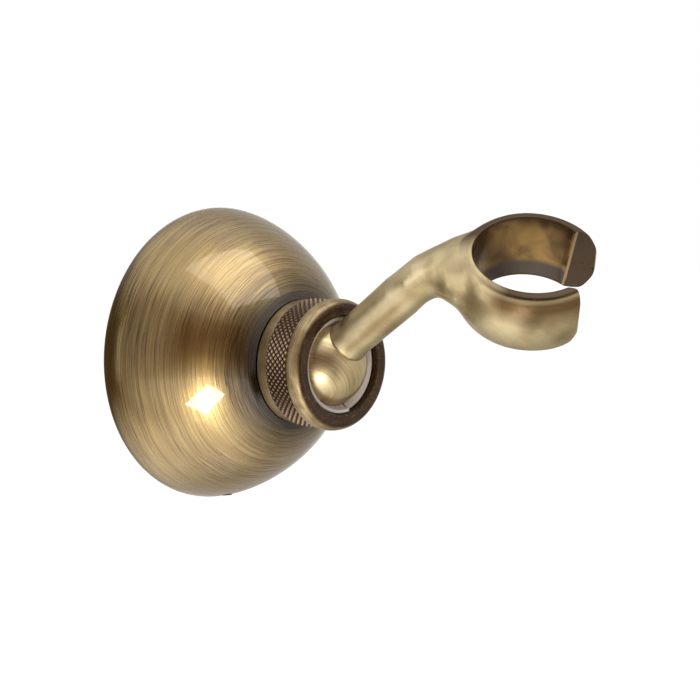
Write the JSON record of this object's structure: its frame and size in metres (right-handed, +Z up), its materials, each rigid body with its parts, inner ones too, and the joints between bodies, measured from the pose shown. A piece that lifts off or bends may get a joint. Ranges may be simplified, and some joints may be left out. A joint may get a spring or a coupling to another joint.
{
  "type": "hand shower holder",
  "caption": "Bell-shaped wall base with a knurled collar clamping a ball joint, whose bent arm carries an open C-shaped cradle for a hand shower.",
  "frame": {"origin": "centre of the wall plate's back face, in the plane of the wall", "axes": "+Y into the wall, +Z up, +X to the right as seen from the front; the base's axis runs out from the wall along -Y"},
  "size_m": [0.0606, 0.0908, 0.0616],
  "materials": {
    "brushed_brass": "antique brass brushed round its axis and lacquered",
    "satin_brass": "antique brass, satin brushed and lacquered",
    "collar_brass": "antique brass, dark in the knurl and on the lip, worn bright on its edges",
    "plain_brass": "plain turned brass",
    "nylon": "off-white moulded nylon",
    "screw_steel": "blackened steel"
  },
  "bodies": {
    "base": {"bell_base": "brushed_brass", "wall_plate": "plain_brass", "set_screw": "screw_steel"},
    "seat_ring": {"front_seat_ring": "nylon"},
    "collar": {"knurled_collar": "collar_brass"},
    "rear_cup": {"rear_seat": "nylon"},
    "ball": {"swivel_ball": "satin_brass"},
    "arm": {"arm_cradle": "satin_brass"}
  },
  "joints": [
    {"name": "ball_swivel", "type": "hinge", "parent": "base", "child": "rear_cup", "pos_m": [0, -0.033, 0], "axis": [0, -1, 0], "continuous": true},
    {"name": "ball_tilt", "type": "hinge", "parent": "rear_cup", "child": "ball", "pos_m": [0, -0.033, 0], "axis": [-0.9961, 0, 0.088], "range_deg": [-72.2, 0]},
    {"name": "arm_roll", "type": "hinge", "parent": "ball", "child": "arm", "pos_m": [0, -0.033, 0], "axis": [0.0519, -0.808, 0.5869], "continuous": true},
    {"name": "ring_travel", "type": "slide", "parent": "base", "child": "seat_ring", "axis": [0, -1, 0], "range_m": [0, 0.00026]},
    {"name": "collar_turn", "type": "hinge", "parent": "seat_ring", "child": "collar", "pos_m": [0, -0.033, 0], "axis": [0, -1, 0], "range_deg": [0, 90]}
  ],
  "couplings": [
    {"joint": "ring_travel", "follows": "collar_turn", "m_per_rad": 0.00015915}
  ]
}
